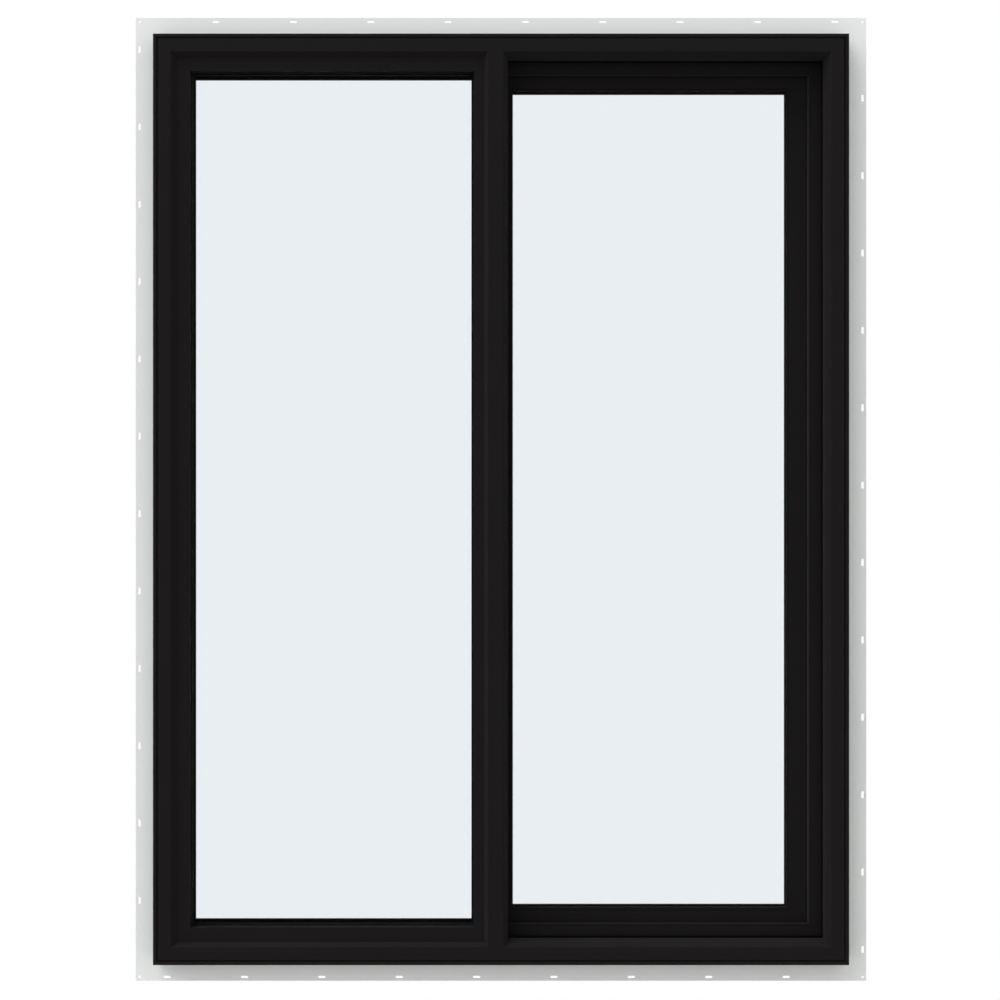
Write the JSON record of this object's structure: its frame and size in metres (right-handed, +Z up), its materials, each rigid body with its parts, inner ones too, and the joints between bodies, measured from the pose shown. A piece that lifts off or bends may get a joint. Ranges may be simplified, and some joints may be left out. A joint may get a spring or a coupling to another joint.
{
  "type": "horizontal sliding window with nail fin",
  "caption": "Horizontal sliding window with one fixed light, one sliding sash, black vinyl frame and a slotted nail fin all round.",
  "frame": {"origin": "on the back face of the sill's nail fin, half way along it and half way up its visible strip", "axes": "+X to the right seen from outside, +Y into the building, +Z up"},
  "size_m": [0.9588, 0.0875, 1.2637],
  "materials": {
    "frame_vinyl": "black capped vinyl, satin",
    "bead_vinyl": "black vinyl, satin",
    "sash_vinyl": "black capped vinyl, satin",
    "fin_vinyl": "pale grey-white bare vinyl",
    "glass": "clear insulating glass",
    "spacer_foam": "black foam spacer",
    "gasket_rubber": "black soft rubber",
    "block_rubber": "hard rubber",
    "pile": "dark wool pile",
    "rail_aluminium": "mill finish",
    "hardware_plastic": "moulded nylon",
    "hardware_metal": "black powder coat"
  },
  "bodies": {
    "root": {"frame_jamb_fixed": "frame_vinyl", "frame_head": "frame_vinyl", "frame_jamb_sash": "frame_vinyl", "frame_sill": "frame_vinyl", "mullion": "frame_vinyl", "nail_fin_left": "fin_vinyl", "nail_fin_head": "fin_vinyl", "nail_fin_right": "fin_vinyl", "nail_fin_sill": "fin_vinyl", "fixed_bead_jamb": "bead_vinyl", "fixed_bead_head": "bead_vinyl", "fixed_bead_sill": "bead_vinyl", "fixed_bead_mullion": "bead_vinyl", "fixed_glass_outer": "glass", "fixed_glass_inner": "glass", "fixed_spacer": "spacer_foam", "fixed_gasket": "gasket_rubber", "fixed_setting_blocks": "block_rubber", "sash_glass_outer": "glass", "sash_glass_inner": "glass", "sash_spacer": "spacer_foam", "sash_gasket": "gasket_rubber", "sash_setting_blocks": "block_rubber", "fixed_tape": "gasket_rubber", "sash_stile_meeting": "sash_vinyl", "sash_rail_head": "sash_vinyl", "sash_stile_jamb": "sash_vinyl", "sash_rail_sill": "sash_vinyl", "sash_bead_meeting": "sash_vinyl", "sash_bead_head": "sash_vinyl", "sash_bead_jamb": "sash_vinyl", "sash_bead_sill": "sash_vinyl", "pile_exterior": "pile", "pile_interior": "pile", "roller_rail": "rail_aluminium", "roller_carriages": "hardware_plastic", "roller_wheels": "hardware_plastic", "lift_blocks": "hardware_plastic", "jamb_bumpers": "block_rubber", "interlock_mullion": "frame_vinyl", "interlock_sash": "sash_vinyl", "lock_case": "hardware_metal", "lock_lever": "hardware_metal", "lock_keeper": "hardware_metal", "pull_rail": "sash_vinyl"}
  },
  "joints": []
}
